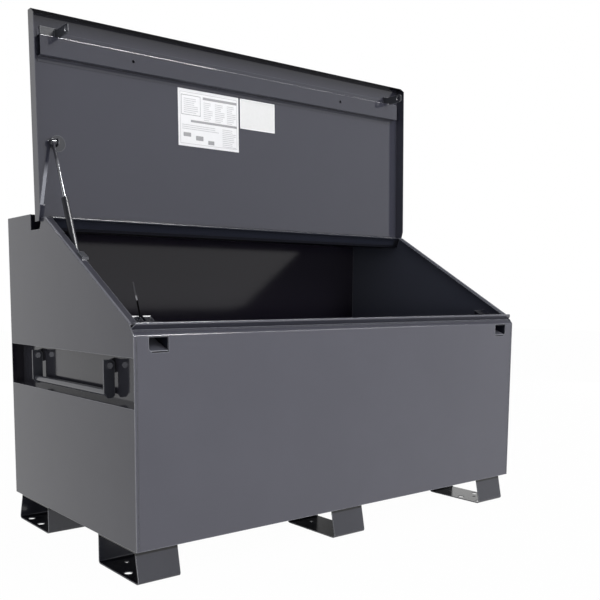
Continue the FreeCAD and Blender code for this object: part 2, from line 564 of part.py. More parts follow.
# Telescopic stay on the left: rod turning on the lid's stud, middle tube, and outer tube
# whose welded cross pin meets the boss of the plate on the side panel.
EYE_Y = HINGE_Y + " + stay_n * cos(lid_lean) + stay_l * sin(lid_lean)"
EYE_Z = HINGE_Z + " + stay_l * cos(lid_lean) - stay_n * sin(lid_lean)"
FOOT_Y = EYE_Y + " - stay_open * sin(stay_tilt)"
FOOT_Z = EYE_Z + " - stay_open * cos(stay_tilt)"
STAY = ("stay_x - width / 2", FRONT + " + " + FOOT_Y, "base + " + FOOT_Z)
outer = body("stay_outer_tube", STAY, "-stay_tilt")
MOUTH = "(stay_open - stay_rod_out - stay_mid_out)"
pad(outer, "XY_Plane", [], "stay_eye - 4", MOUTH, [("0", "0", "stay_tube")])
pocket(outer, "XY_Plane", [], "stay_eye - 0.5", MOUTH + " + 1", [("0", "0", "stay_mid + run_fit")])
pad(outer, "YZ_Plane", [], "-stay_tube / 2", "stay_tube / 2", [("0", "0", "stay_eye - 1")])
pad(outer, "YZ_Plane", [], "-stay_tube", "0", [("0", "0", "stud_rad")])
middle = body("stay_middle_tube", STAY, "-stay_tilt")
pad(middle, "XY_Plane", [], MOUTH + " - stay_keep", "stay_open - stay_rod_out", [("0", "0", "stay_mid")])
pocket(middle, "XY_Plane", [], MOUTH + " - stay_keep - 1", "stay_open - stay_rod_out + 1",
       [("0", "0", "stay_rod + run_fit")])
piston = body("stay_rod", STAY, "-stay_tilt")
pad(piston, "XY_Plane", [], "stay_open - stay_rod_out - stay_keep", "stay_open", [("0", "0", "stay_rod")])
eye = pad(piston, "YZ_Plane", [], "-stay_rod - 1.5", "stay_rod + 2", [("0", "10", "stay_eye - 1")])
eye.Profile[0].setExpression("Constraints[1]", bound("stay_open"))
bore = pocket(piston, "YZ_Plane", [], "-stay_tube", "stay_tube", [("0", "stay_open", "stud_rad + run_fit")])

base_plate = body("stay_box_bracket")
pad(base_plate, "YZ_Plane", rect(FOOT_Y + " - 30", FOOT_Y + " + 30", FOOT_Z + " - 22", FOOT_Z + " + 22"),
    "skin", "skin + 3")
pad(base_plate, "YZ_Plane", [], "skin + 2", "stay_x - stay_tube - stay_gap", [(FOOT_Y, FOOT_Z, "boss_rad")])

# Round plate on the lid with a lug, and the headed stud welded in the lug for the rod's eye
bracket = body("stay_lid_bracket", LID, "-lid_lean")
LUG = "(stay_x + stay_tube + 0.4)"
pad(bracket, "XZ_Plane", [], IN + " - skin", IN, [("stay_x + 21", "stay_l", "stay_plate")])
pad(bracket, "YZ_Plane", [
    ("stay_n - stay_eye", "stay_l - stay_eye / 2"), ("stay_n - stay_eye / 2", "stay_l - stay_eye"),
    (IN + " - skin / 2", "stay_l - stay_eye - 2"), (IN + " - skin / 2", "stay_l + stay_eye + 2"),
    ("stay_n - stay_eye / 2", "stay_l + stay_eye"), ("stay_n - stay_eye", "stay_l + stay_eye / 2")],
    LUG, LUG + " + lug_thick")
pad(bracket, "YZ_Plane", [], "stay_x - stay_rod - 2.3", LUG + " + lug_thick / 2", [("stay_n", "stay_l", "stud_rad")])
pad(bracket, "YZ_Plane", hexagon("stay_n", "stay_l", "boss_rad"), "stay_x - stay_rod - 4.3", "stay_x - stay_rod - 1.8")

# Small plate riveted on the left slope flange
perch = body("slope_plate")
low_z = SLOPE_Z + " + (perch_from - slope_in) * slope_rise / slope_run"
high_z = SLOPE_Z + " + (perch_from + perch_long - slope_in) * slope_rise / slope_run"
pad(perch, "YZ_Plane", [
    ("perch_from", low_z), ("perch_from + perch_long", high_z),
    ("perch_from + perch_long", high_z + " + perch_thick"), ("perch_from", low_z + " + perch_thick")],
    "14", "flange + 8")

# Drop handles: two flat arms joined by a grip tube, each arm turning on a headed pin that is
# welded in an ear of the channel
for side in ("left", "right"):
    def ax(text, side=side):
        return across(side, text)
    UP = "(recess_low + pivot_up)"
    for which, middle_y in (("front", "arm_front"), ("rear", "arm_front + arm_span")):
        arm = body("handle_%s_arm_%s" % (side, which))
        before = middle_y + " - arm_thick / 2"
        behind = middle_y + " + arm_thick / 2"
        pad(arm, "XZ_Plane", [
            (ax("0"), UP + " + arm_half"), (ax("0"), UP + " - grip_drop - 1"),
            (ax("arm_half - 5"), UP + " - grip_drop - 14"), (ax("arm_half + 10"), UP + " - grip_drop - 14"),
            (ax("2 * arm_half"), UP + " - grip_drop - 7"), (ax("2 * arm_half"), UP + " + arm_half / 2"),
            (ax("1.5 * arm_half"), UP + " + arm_half")], before, behind)
        pocket(arm, "XZ_Plane", [], before + " - 1", behind + " + 1",
               [(ax("arm_half"), UP, "handle_pin + run_fit")])
        ear = body("handle_%s_ear_%s" % (side, which))
        pad(ear, "XZ_Plane", [
            (ax("recess_deep - skin"), UP + " - 20"), (ax("arm_half - 6"), UP + " - 12"),
            (ax("arm_half - 10"), UP), (ax("arm_half - 6"), UP + " + 12"),
            (ax("recess_deep - skin"), UP + " + 20")],
            behind + " + ear_gap", behind + " + ear_gap + arm_thick")
        pad(ear, "XZ_Plane", [], before + " - ear_gap", behind + " + ear_gap + 1",
            [(ax("arm_half"), UP, "handle_pin")])
        pad(ear, "XZ_Plane", hexagon(ax("arm_half"), UP, "handle_head"), before + " - ear_gap - 4",
            before + " - ear_gap")
    grip = body("handle_%s_grip" % side)
    pad(grip, "XZ_Plane", [], "arm_front + arm_thick / 2", "arm_front + arm_span - arm_thick / 2",
        [(ax("arm_half"), UP + " - grip_drop", "grip_rad")])
    pocket(grip, "XZ_Plane", [], "arm_front", "arm_front + arm_span",
           [(ax("arm_half"), UP + " - grip_drop", "grip_rad - skin")])

# Check every object, then write each piece
doc.recompute()
for item in doc.Objects:
    if "Invalid" in item.State or "Error" in item.State:
        raise RuntimeError("failed object: " + item.Name)
for name, piece in NODES.items():
    if piece.Shape.isNull() or not piece.Shape.isValid() or len(piece.Shape.Solids) == 0:
        raise RuntimeError("bad shape: " + name)
os.makedirs("parts", exist_ok=True)
for name, piece in NODES.items():
    piece.Shape.exportStep("parts/%s.step" % name)
    box = piece.Shape.BoundBox
    print("%-26s %9.0f mm3  X %8.1f %8.1f  Y %7.1f %7.1f  Z %7.1f %7.1f" % (
        name, piece.Shape.Volume, box.XMin, box.XMax, box.YMin, box.YMax, box.ZMin, box.ZMax))
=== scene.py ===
import bpy, bmesh, math
from mathutils import Matrix, Vector


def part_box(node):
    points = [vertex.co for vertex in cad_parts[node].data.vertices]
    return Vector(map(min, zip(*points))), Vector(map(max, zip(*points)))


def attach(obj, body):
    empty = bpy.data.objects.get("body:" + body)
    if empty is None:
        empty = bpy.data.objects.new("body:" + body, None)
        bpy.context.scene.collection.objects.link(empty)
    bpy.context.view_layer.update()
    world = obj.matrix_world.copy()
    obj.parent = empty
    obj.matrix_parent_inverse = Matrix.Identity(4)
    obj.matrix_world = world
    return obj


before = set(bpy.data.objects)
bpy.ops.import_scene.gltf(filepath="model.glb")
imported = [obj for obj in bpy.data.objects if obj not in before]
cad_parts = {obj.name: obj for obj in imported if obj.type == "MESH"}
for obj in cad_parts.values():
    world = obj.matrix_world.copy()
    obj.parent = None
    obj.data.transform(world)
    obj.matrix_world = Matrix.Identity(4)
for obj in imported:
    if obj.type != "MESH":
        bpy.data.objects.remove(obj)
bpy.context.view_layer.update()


# ---- Front panel -----------------------------------------------------------
# One folded sheet of 14-gauge steel with a V groove and a rain lip along its top,
# welded to the sides and finished in dark grey powder coat with a fine orange peel.
def node(tree, kind, setting=None, values=None):
    """A shader node; setting is a mix's data type, a group's tree or else an operation, and
    values are the plain numbers and colours of its inputs."""
    made = tree.nodes.new("ShaderNode" + kind)
    if setting:
        setattr(made, {"Mix": "data_type", "Group": "node_tree"}.get(kind, "operation"), setting)
    for socket, value in (values or {}).items():
        made.inputs[socket].default_value = value
    return made


def wire(tree, *pairs):
    """Link each pair of an output and an input."""
    for source, target in pairs:
        tree.links.new(source, target)


def effect(name, inputs, outputs):
    """A node group with named inputs and outputs, and the two nodes at its ends."""
    group = bpy.data.node_groups.new(name, "ShaderNodeTree")
    for socket, (kind, first) in inputs.items():
        entry = group.interface.new_socket(socket, in_out="INPUT", socket_type="NodeSocket" + kind)
        entry.default_value = first
    for socket, kind in outputs.items():
        group.interface.new_socket(socket, in_out="OUTPUT", socket_type="NodeSocket" + kind)
    return group, group.nodes.new("NodeGroupInput"), group.nodes.new("NodeGroupOutput")


PEEL_SCALE, PEEL_DEPTH = 420.0, 0.0008
DUST_PALER, DUST_LEAST = 2.2, 0.02
PALE_STEEL_GREY = (0.42, 0.43, 0.46)

coat, given, result = effect("powder_coat_surface",
                             {"Paint": ("Color", (0.07, 0.07, 0.08, 1)),
                              "Handling Dust": ("Color", (0.2, 0.2, 0.2, 1)),
                              "Dust Amount": ("Float", 0.1),
                              "Gloss Roughness": ("Float", 0.35),
                              "Shade Paint": ("Color", (0.02, 0.02, 0.024, 1)),
                              "Shaded Facing": ("Vector", (0, 0, 0)),
                              "Edge Wear And Highlight": ("Float", 0.3)},
                             {"Colour": "Color", "Roughness": "Float", "Height": "Float"})
spot = node(coat, "TexCoord")

# Dust lies in broad clouds; flecks vary the gloss, and the grain is the orange peel.
cloud = node(coat, "TexNoise", values={"Scale": 2.6, "Detail": 5.0, "Roughness": 0.6})
fleck = node(coat, "TexNoise", values={"Scale": 60.0, "Detail": 3.0})
grain = node(coat, "TexNoise", values={"Scale": PEEL_SCALE, "Detail": 2.0})
dust_mask = node(coat, "MapRange", values={"From Min": 0.42, "From Max": 0.72})
dust_share = node(coat, "Math", "MULTIPLY")
dusted = node(coat, "Mix", "RGBA")
gloss_change = node(coat, "MapRange", values={"To Min": -0.05, "To Max": 0.05})
gloss = node(coat, "Math", "ADD")
wire(coat,
     (spot.outputs["Object"], cloud.inputs["Vector"]),
     (spot.outputs["Object"], fleck.inputs["Vector"]),
     (spot.outputs["Object"], grain.inputs["Vector"]),
     (cloud.outputs["Fac"], dust_mask.inputs["Value"]),
     (dust_mask.outputs["Result"], dust_share.inputs[0]),
     (given.outputs["Dust Amount"], dust_share.inputs[1]),
     (dust_share.outputs["Value"], dusted.inputs["Factor"]),
     (given.outputs["Paint"], dusted.inputs["A"]),
     (given.outputs["Handling Dust"], dusted.inputs["B"]),
     (fleck.outputs["Fac"], gloss_change.inputs["Value"]),
     (given.outputs["Gloss Roughness"], gloss.inputs[0]),
     (gloss_change.outputs["Result"], gloss.inputs[1]),
     (gloss.outputs["Value"], result.inputs["Roughness"]),
     (grain.outputs["Fac"], result.inputs["Height"]))

# Faces turned the given way, mostly those inside the box, carry the shade paint: a painted shade.
facing = node(coat, "VectorMath", "DOT_PRODUCT")
inside = node(coat, "MapRange", values={"From Min": 0.4, "From Max": 0.6})
lined = node(coat, "Mix", "RGBA")
wire(coat,
     (spot.outputs["Normal"], facing.inputs[0]),
     (given.outputs["Shaded Facing"], facing.inputs[1]),
     (facing.outputs["Value"], inside.inputs["Value"]),
     (inside.outputs["Result"], lined.inputs["Factor"]),
     (dusted.outputs["Result"], lined.inputs["A"]),
     (given.outputs["Shade Paint"], lined.inputs["B"]))

# Bends and cut edges are painted pale where a rounded normal leaves the face's own: partly wear, mostly a
# painted highlight.
rounded = node(coat, "Bevel", values={"Radius": 0.0025})
rounded.samples = 4
true_face = node(coat, "NewGeometry")
turned_away = node(coat, "VectorMath", "DOT_PRODUCT")
bend = node(coat, "MapRange", values={"From Min": 0.99, "From Max": 0.9})
edge_pale_share = node(coat, "Math", "MULTIPLY")
edged = node(coat, "Mix", "RGBA", {"B": (*PALE_STEEL_GREY, 1)})
wire(coat,
     (rounded.outputs["Normal"], turned_away.inputs[0]),
     (true_face.outputs["Normal"], turned_away.inputs[1]),
     (turned_away.outputs["Value"], bend.inputs["Value"]),
     (bend.outputs["Result"], edge_pale_share.inputs[0]),
     (given.outputs["Edge Wear And Highlight"], edge_pale_share.inputs[1]),
     (edge_pale_share.outputs["Value"], edged.inputs["Factor"]),
     (lined.outputs["Result"], edged.inputs["A"]),
     (edged.outputs["Result"], result.inputs["Colour"]))


def powder_coat(name, paint, roughness, dust=0.1, bump=0.05, specular=0.5, edge=0.4,
                inner=None, shade_paint=None):
    """A baked powder finish: paint colour, handling dust and a fine orange peel; inner gives
    the direction of the faces that carry shade_paint, a painted shade, and edge the share of pale paint on
    bends, partly wear and mostly a painted highlight."""
    made = bpy.data.materials.new(name)
    made.use_nodes = True
    tree = made.node_tree
    shader = tree.nodes["Principled BSDF"]
    shader.inputs["Specular IOR Level"].default_value = specular
    dusty = [min(1, DUST_PALER * c + DUST_LEAST) for c in paint]
    surface = node(tree, "Group", coat, {"Paint": (*paint, 1), "Handling Dust": (*dusty, 1),
                                         "Dust Amount": dust, "Gloss Roughness": roughness,
                                         "Edge Wear And Highlight": edge})
    if inner:
        surface.inputs["Shaded Facing"].default_value = inner
        surface.inputs["Shade Paint"].default_value = (*shade_paint, 1)
    relief = node(tree, "Bump", values={"Strength": bump, "Distance": PEEL_DEPTH})
    wire(tree,
         (surface.outputs["Colour"], shader.inputs["Base Color"]),
         (surface.outputs["Roughness"], shader.inputs["Roughness"]),
         (surface.outputs["Height"], relief.inputs["Height"]),
         (relief.outputs["Normal"], shader.inputs["Normal"]))
    return made


def finish_nodes(material, *names):
    """Give the named CAD pieces this finish in every material slot."""
    for name in names:
        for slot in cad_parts[name].material_slots:
            slot.material = material


# Faces turned down, along its neck, carry a darker painted shade.
finish_nodes(powder_coat("front_powder_grey", (0.078, 0.078, 0.098), 0.16, dust=0.05, bump=0.02, edge=0.7,
                         inner=(0, -0.2, -1), shade_paint=(0.03, 0.031, 0.042)), "front_panel")

# The dark line where the front's flanges meet the sides, and a dark strip along its neck that is a painted
# dark reflection.
STRIP_FACES = [(0, 3, 2, 1), (4, 5, 6, 7), (0, 1, 5, 4), (1, 2, 6, 5), (2, 3, 7, 6), (3, 0, 4, 7)]


def strip_corners(low, high):
    """The eight corners of a thin upright strip between two opposite corners."""
    return [(x, y, z) for z in (low[2], high[2])
            for x, y in ((low[0], low[1]), (high[0], low[1]), (high[0], high[1]), (low[0], high[1]))]


def add_piece(name, body, material, corners, faces):
    """A mesh piece that rides on one body, given by its corners in metres and its faces."""
    mesh = bpy.data.meshes.new(name)
    mesh.from_pydata(corners, [], faces)
    mesh.update()
    mesh.materials.append(material)
    piece = bpy.data.objects.new(name, mesh)
    bpy.context.scene.collection.objects.link(piece)
    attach(piece, body)


FRONT_FACE, SEAM_PROUD = -0.397, 0.0002
SEAM_FOOT, SEAM_HEAD, SEAM_WIDE = 0.09, 0.622, 0.002
NECK_LINE_HALF_LONG = 0.757
NECK_LINE_SECTION = ((-0.3845, 0.6374), (-0.3859, 0.6361), (-0.3863, 0.6366), (-0.3849, 0.6379))

seam_and_reflection_dark = powder_coat("seam_and_reflection_grey", (0.012, 0.012, 0.016), 0.3, dust=0.05, specular=0.2)
for side, seam_x in (("left", -0.7555), ("right", 0.7535)):
    add_piece("corner_seam_" + side, "box", seam_and_reflection_dark,
              strip_corners((seam_x, FRONT_FACE - SEAM_PROUD, SEAM_FOOT),
                            (seam_x + SEAM_WIDE, FRONT_FACE + SEAM_PROUD, SEAM_HEAD)), STRIP_FACES)
add_piece("neck_dark_reflection", "box", seam_and_reflection_dark,
          [(x, y, z) for x in (-NECK_LINE_HALF_LONG, NECK_LINE_HALF_LONG) for y, z in NECK_LINE_SECTION],
          STRIP_FACES)


# ---- Side, back and floor panels -------------------------------------------
# Each side is one steel sheet pressed into a deep channel for the handle and flanged
# along its slope; back and floor are flat sheets. All are welded and powder-coated.
ACROSS, BACKWARD, UP = (1, 0, 0), (0, 1, 0), (0, 0, 1)

# A coat that changes to another between two levels along one direction of the box.
level_fade, given, result = effect("level_fade",
                                   {"Colour": ("Color", (0, 0, 0, 1)),
                                    "Faded Colour": ("Color", (0, 0, 0, 1)),
                                    "Direction": ("Vector", UP),
                                    "Start": ("Float", 0.0),
                                    "Full": ("Float", 1.0),
                                    "Share": ("Float", 1.0)},
                                   {"Colour": "Color", "Mask": "Float"})
spot = node(level_fade, "TexCoord")
level = node(level_fade, "VectorMath", "DOT_PRODUCT")
mask = node(level_fade, "MapRange")
shade = node(level_fade, "Mix", "RGBA")
wire(level_fade,
     (spot.outputs["Object"], level.inputs[0]),
     (given.outputs["Direction"], level.inputs[1]),
     (level.outputs["Value"], mask.inputs["Value"]),
     (given.outputs["Start"], mask.inputs["From Min"]),
     (given.outputs["Full"], mask.inputs["From Max"]),
     (given.outputs["Share"], mask.inputs["To Max"]),
     (mask.outputs["Result"], shade.inputs["Factor"]),
     (given.outputs["Colour"], shade.inputs["A"]),
     (given.outputs["Faded Colour"], shade.inputs["B"]),
     (shade.outputs["Result"], result.inputs["Colour"]),
     (mask.outputs["Result"], result.inputs["Mask"]))


def fade(material, direction, start, full, colour, share=1.0):
    """Fade a finish towards another colour between two levels; gives the fade's own node."""
    tree = material.node_tree
    base = tree.nodes["Principled BSDF"].inputs["Base Color"]
    made = node(tree, "Group", level_fade, {"Faded Colour": (*colour, 1), "Direction": direction,
                                            "Start": start, "Full": full, "Share": share})
    wire(tree, (base.links[0].from_socket, made.inputs["Colour"]), (made.outputs["Colour"], base))
    return made


# From the channel's floor inwards each side is painted darker, as painted shade in the handle recess; faces
# turned into the box carry painted shade too.
CHANNEL_FLOOR, CHANNEL_FADE = 0.7255, 0.001
for side, inward, shade_grey in (("left", (1, 0, 0), (0.03, 0.032, 0.04)),
                                 ("right", (-1, -0.4, 0.68), (0.066, 0.071, 0.095))):
    side_grey = powder_coat(side + "_side_powder_grey", (0.067, 0.067, 0.082), 0.1, dust=0.06, bump=0.012,
                            specular=0.38, edge=0.7, inner=inward, shade_paint=shade_grey)
    channel_x = -CHANNEL_FLOOR * inward[0]
    fade(side_grey, ACROSS, channel_x, channel_x + CHANNEL_FADE * inward[0], (0.036, 0.036, 0.045))
    finish_nodes(side_grey, side + "_side_panel")

# A pale strip along the outer edge of both slopes is a painted highlight of their bends.
SLOPE_FOOT, SLOPE_HEAD, SLOPE_OUT = (-0.3745, 0.6565), (0.1215, 0.9496), (-0.509, 0.861)
HIGHLIGHT_SUNK, HIGHLIGHT_PROUD = -0.0002, 0.0003
highlight_section = [(y + out * SLOPE_OUT[0], z + out * SLOPE_OUT[1])
               for (y, z), out in ((SLOPE_FOOT, HIGHLIGHT_SUNK), (SLOPE_HEAD, HIGHLIGHT_SUNK),
                                   (SLOPE_HEAD, HIGHLIGHT_PROUD), (SLOPE_FOOT, HIGHLIGHT_PROUD))]
edge_highlight_grey = powder_coat("slope_edge_highlight_grey", (0.2, 0.2, 0.225), 0.25, dust=0.02, bump=0.02, edge=0.2)
for side, low_x, high_x in (("left", -0.7608, -0.7545), ("right", 0.7545, 0.7608)):
    add_piece("slope_edge_highlight_" + side, "box", edge_highlight_grey,
              [(x, y, z) for x in (low_x, high_x) for y, z in highlight_section], STRIP_FACES)

# Faces of the back and floor turned into the box carry a darker painted shade.
finish_nodes(powder_coat("back_powder_grey", (0.07, 0.072, 0.082), 0.12, dust=0.05, bump=0.01,
                         specular=0.34, inner=(0, -1, 0), shade_paint=(0.012, 0.0105, 0.017)), "back_panel")
finish_nodes(powder_coat("floor_powder_grey", (0.06, 0.062, 0.072), 0.2, dust=0.1, bump=0.02,
                         inner=(0, 0, 1), shade_paint=(0.04, 0.041, 0.05)), "floor_panel")
finish_nodes(powder_coat("plate_powder_grey", (0.07, 0.072, 0.082), 0.2), "slope_plate")

# ---- Rear ledge and rain trough --------------------------------------------
# The ledge is one steel sheet folded down into a gutter and welded between the sides.
# The gutter's front wall carries the hinge; its faces turned forward and down carry a near-black painted
# shade.
finish_nodes(powder_coat("trough_powder_grey", (0.055, 0.056, 0.07), 0.45, dust=0.04, bump=0.02,
                         specular=0.1, edge=0.02, inner=(0, -0.8, -0.8), shade_paint=(0.008, 0.0085, 0.013)),
             "rear_ledge")

# ---- Skids -----------------------------------------------------------------
# Six short channels of thicker plate welded under the floor, open at both ends, with caster holes punched in
# the bottom plate. Their tops are painted near black as the floor's shadow, and their faces turned up carry
# painted shade.
SKID_SHADOW_FROM, SKID_SHADOW_FULL = 0.0725, 0.0755
skid_grey = powder_coat("skid_powder_grey", (0.035, 0.036, 0.046), 0.2, dust=0.12, bump=0.03, edge=0.6,
                        inner=(0, 0, 1), shade_paint=(0.008, 0.008, 0.012))
fade(skid_grey, UP, SKID_SHADOW_FROM, SKID_SHADOW_FULL, (0.002, 0.002, 0.003))
finish_nodes(skid_grey, *["foot_%s_%s" % (row, place) for row in ("front", "rear")
                          for place in ("left", "middle", "right")])


# ---- Hinge -----------------------------------------------------------------
# A continuous butt hinge: two folded leaves with rolled barrels, welded on and painted
# over with the box, and one long zinc-plated steel pin.
MARKED = 0.8
turning_marks, given, result = effect("turning_marks",
                                      {"Tint": ("Color", (0.4, 0.4, 0.4, 1)),
                                       "Marked Tint": ("Color", (0.3, 0.3, 0.3, 1)),
                                       "Least Roughness": ("Float", 0.3),
                                       "Most Roughness": ("Float", 0.5)},
                                      {"Colour": "Color", "Roughness": "Float"})
spot = node(turning_marks, "TexCoord")
marks = node(turning_marks, "TexNoise", values={"Scale": 240.0, "Detail": 4.0})
spread = node(turning_marks, "MapRange")
shade = node(turning_marks, "Mix", "RGBA")
wire(turning_marks,
     (spot.outputs["Object"], marks.inputs["Vector"]),
     (marks.outputs["Fac"], spread.inputs["Value"]),
     (given.outputs["Least Roughness"], spread.inputs["To Min"]),
     (given.outputs["Most Roughness"], spread.inputs["To Max"]),
     (marks.outputs["Fac"], shade.inputs["Factor"]),
     (given.outputs["Tint"], shade.inputs["A"]),
     (given.outputs["Marked Tint"], shade.inputs["B"]),
     (shade.outputs["Result"], result.inputs["Colour"]),
     (spread.outputs["Result"], result.inputs["Roughness"]))


def bare_steel(name, tint, roughness, scratch=0.08):
    """Plated steel: metallic, with fine turning marks in its colour and roughness."""
    made = bpy.data.materials.new(name)
    made.use_nodes = True
    tree = made.node_tree
    shader = tree.nodes["Principled BSDF"]
    shader.inputs["Metallic"].default_value = 1.0
    surface = node(tree, "Group", turning_marks, {"Tint": (*tint, 1),
                                                  "Marked Tint": (*[MARKED * c for c in tint], 1),
                                                  "Least Roughness": roughness - scratch,
                                                  "Most Roughness": roughness + scratch})
    wire(tree,
         (surface.outputs["Colour"], shader.inputs["Base Color"]),
         (surface.outputs["Roughness"], shader.inputs["Roughness"]))
    return made


# The leaves are painted much darker than the box, as painted shade in the trough.
finish_nodes(powder_coat("hinge_powder_grey", (0.018, 0.02, 0.03), 0.2, dust=0.05, bump=0.02, specular=0.2,
                         edge=0.05), "hinge_box_leaf", "hinge_lid_leaf")
finish_nodes(bare_steel("zinc_plated_steel", PALE_STEEL_GREY, 0.38), "hinge_pin")

# ---- Padlock pockets -------------------------------------------------------
# Folded sheet housings welded behind two openings in the front, each with a sloped tray
# that guards the padlock; a hooked bar on the lid drops into the housing's slot.
# The housings are painted near black as painted shade and dark reflection in the pockets; the trays are
# painted paler than the box as painted light.
finish_nodes(powder_coat("lock_powder_grey", (0.013, 0.014, 0.021), 0.22, dust=0.03, bump=0.02,
                         specular=0.14, edge=0.25), "lock_housing_left", "lock_housing_right")
finish_nodes(powder_coat("tray_powder_grey", (0.11, 0.113, 0.135), 0.3, dust=0.08, bump=0.02, edge=0.8),
             "lock_tray_left", "lock_tray_right")
finish_nodes(powder_coat("hook_powder_grey", (0.045, 0.047, 0.055), 0.22, dust=0.08, bump=0.02),
             "lid_hook_left", "lid_hook_right", "stay_box_bracket", "stay_lid_bracket")

# A pale steel strip along the rear edge of the left housing's top, on both sides of the strap there, is a
# painted highlight of that edge.
GLINT_FRONT, GLINT_BACK, GLINT_LOW, GLINT_TOP = -0.3093, -0.3068, 0.6718, 0.6736
housing_glint_steel = bare_steel("housing_edge_glint_steel", (0.9, 0.9, 0.92), 0.3)
for part, low_x, high_x in (("outer", -0.7195, -0.694), ("inner", -0.685, -0.6625)):
    add_piece("housing_edge_" + part, "box", housing_glint_steel,
              strip_corners((low_x, GLINT_FRONT, GLINT_LOW), (high_x, GLINT_BACK, GLINT_TOP)),
              STRIP_FACES)

# ---- Lid -------------------------------------------------------------------
# One folded pan of sheet steel with welded corners and a channel welded in behind its
# front lip. Its inner face keeps an even, glossy coat, since nothing rubs it; its outer face is duller.
# Pan and channel are painted darker and bluer than the box as painted shade; towards the lip the pan is
# painted darker still as the lip's shade, and faces turned down carry painted shade.
OUTER_ROUGHNESS = 0.55
LIP_SHADE_FROM, LIP_SHADE_FULL = 1.485, 1.535
lid_grey = powder_coat("lid_powder_grey", (0.052, 0.053, 0.071), 0.07, dust=0.03, bump=0.006, edge=0.1,
                       inner=(0, 0, -1), shade_paint=(0.012, 0.012, 0.017))
fade(lid_grey, UP, LIP_SHADE_FROM, LIP_SHADE_FULL, (0.008, 0.008, 0.012), share=0.95)
lid_tree = lid_grey.node_tree
lid_shader = lid_tree.nodes["Principled BSDF"]
inner_gloss = lid_shader.inputs["Roughness"].links[0].from_socket
lid_faces = node(lid_tree, "TexCoord")
lid_split = node(lid_tree, "SeparateXYZ")
outer_face = node(lid_tree, "MapRange", values={"From Min": 0.4, "From Max": 0.6})
lid_gloss = node(lid_tree, "Mix", "FLOAT", {"B": OUTER_ROUGHNESS})
wire(lid_tree,
     (lid_faces.outputs["Normal"], lid_split.inputs["Vector"]),
     (lid_split.outputs["Y"], outer_face.inputs["Value"]),
     (outer_face.outputs["Result"], lid_gloss.inputs["Factor"]),
     (inner_gloss, lid_gloss.inputs["A"]),
     (lid_gloss.outputs["Result"], lid_shader.inputs["Roughness"]))
finish_nodes(lid_grey, "lid_panel")
finish_nodes(powder_coat("lid_channel_powder_grey", (0.048, 0.049, 0.065), 0.07, dust=0.03, bump=0.006,
                         edge=0.12), "lid_front_channel")


# ---- Cards on the lid ------------------------------------------------------
# A printed instruction card and a plain one, both coated paper stuck to the inner face;
# the printed one carries ruled bars in place of any wording.
FIBRE_DARKER = 0.93
card_fibre, given, result = effect("card_fibre",
                                   {"Paper": ("Color", (0.8, 0.8, 0.8, 1)),
                                    "Fibre": ("Color", (0.7, 0.7, 0.7, 1))},
                                   {"Colour": "Color"})
spot = node(card_fibre, "TexCoord")
fibre = node(card_fibre, "TexNoise", values={"Scale": 90.0})
shade = node(card_fibre, "Mix", "RGBA")
wire(card_fibre,
     (spot.outputs["Object"], fibre.inputs["Vector"]),
     (fibre.outputs["Fac"], shade.inputs["Factor"]),
     (given.outputs["Paper"], shade.inputs["A"]),
     (given.outputs["Fibre"], shade.inputs["B"]),
     (shade.outputs["Result"], result.inputs["Colour"]))


def card_paper(name, colour):
    """Coated paper, or ink on it, with a faint fibre in its colour."""
    made = bpy.data.materials.new(name)
    made.use_nodes = True
    tree = made.node_tree
    shader = tree.nodes["Principled BSDF"]
    shader.inputs["Roughness"].default_value = 0.45
    surface = node(tree, "Group", card_fibre, {"Paper": (*colour, 1),
                                               "Fibre": (*[FIBRE_DARKER * c for c in colour], 1)})
    wire(tree, (surface.outputs["Colour"], shader.inputs["Base Color"]))
    return made


finish_nodes(card_paper("card_white_paper", (0.8, 0.8, 0.79)), "blank_card")
finish_nodes(card_paper("card_print_paper", (0.88, 0.88, 0.89)), "instruction_card")

# The lid leans back a little; its own axes start at the hinge.
LEAN = math.radians(1.2)
HINGE_Y, HINGE_Z = 0.136, 0.951
CARD_FACE, INK_PROUD, INK_OFF = 0.0325, 0.0002, 0.00005
CARD_LEFT, CARD_WIDE, CARD_TOP, CARD_TALL = -0.266, 0.245, 0.448, 0.183
PLAIN_LEFT, PLAIN_RIGHT, PLAIN_TOP, PLAIN_LOW, RIM = -0.014, 0.139, 0.448, 0.3475, 0.0035
LINE_STEP, LINE_TALL, RAGGED = 0.034, 0.012, 0.03


def on_lid(x, out, along):
    """A point in the frame, given from the hinge axis in the leaning lid's own axes."""
    return (x, HINGE_Y + out * math.cos(LEAN) + along * math.sin(LEAN),
            HINGE_Z - out * math.sin(LEAN) + along * math.cos(LEAN))


def print_bars(name, material, bars):
    """Flat printed bars, each given as shares of the card's width and height from its top left."""
    corners, faces = [], []
    for left, top, right, bottom in bars:
        first = len(corners)
        for out in (CARD_FACE - INK_PROUD, CARD_FACE - INK_OFF):
            for across, down in ((left, bottom), (right, bottom), (right, top), (left, top)):
                corners.append(on_lid(CARD_LEFT + CARD_WIDE * across, out, CARD_TOP - CARD_TALL * down))
        faces += [tuple(first + corner for corner in face) for face in STRIP_FACES]
    add_piece(name, "lid", material, corners, faces)


def card_share(x, along):
    """A place on the lid as shares of the printed card's width and height."""
    return (x - CARD_LEFT) / CARD_WIDE, (CARD_TOP - along) / CARD_TALL


